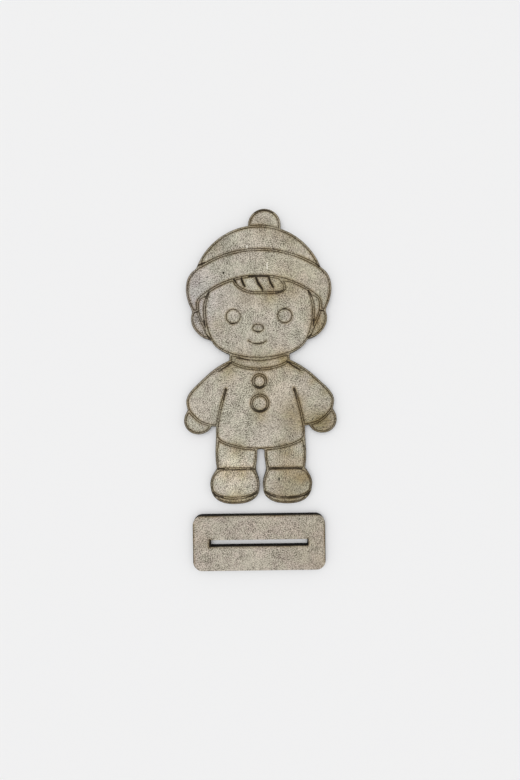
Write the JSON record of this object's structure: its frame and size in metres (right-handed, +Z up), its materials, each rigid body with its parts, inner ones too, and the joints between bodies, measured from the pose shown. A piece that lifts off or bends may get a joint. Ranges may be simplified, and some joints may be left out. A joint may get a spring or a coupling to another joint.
{
  "type": "paintable wooden doll",
  "caption": "Flat doll of a boy in bobble hat and coat, laser cut and scored from thin fibreboard for painting, with a rounded slotted base that holds the shoes so it stands.",
  "frame": {"origin": "Bottom centre of the box round both boards as they lie in line on a table.", "axes": "+X to the right of the picture, +Y from the base towards the boy's hat, +Z up out of the scored faces."},
  "size_m": [0.0692, 0.1638, 0.0027],
  "materials": {
    "figure_fibreboard": "raw fibreboard, matt, with scorched cut edges and score lines",
    "base_fibreboard": "raw fibreboard, matt, with scorched cut edges"
  },
  "bodies": {
    "base": {"slotted_base": "base_fibreboard"},
    "doll": {"doll_figure": "figure_fibreboard"}
  },
  "joints": [
    {"name": "stand_up", "type": "hinge", "parent": "base", "child": "doll", "pos_m": [0, -0.06149, -0.00653], "axis": [1, 0, 0], "range_deg": [0, 90]}
  ]
}
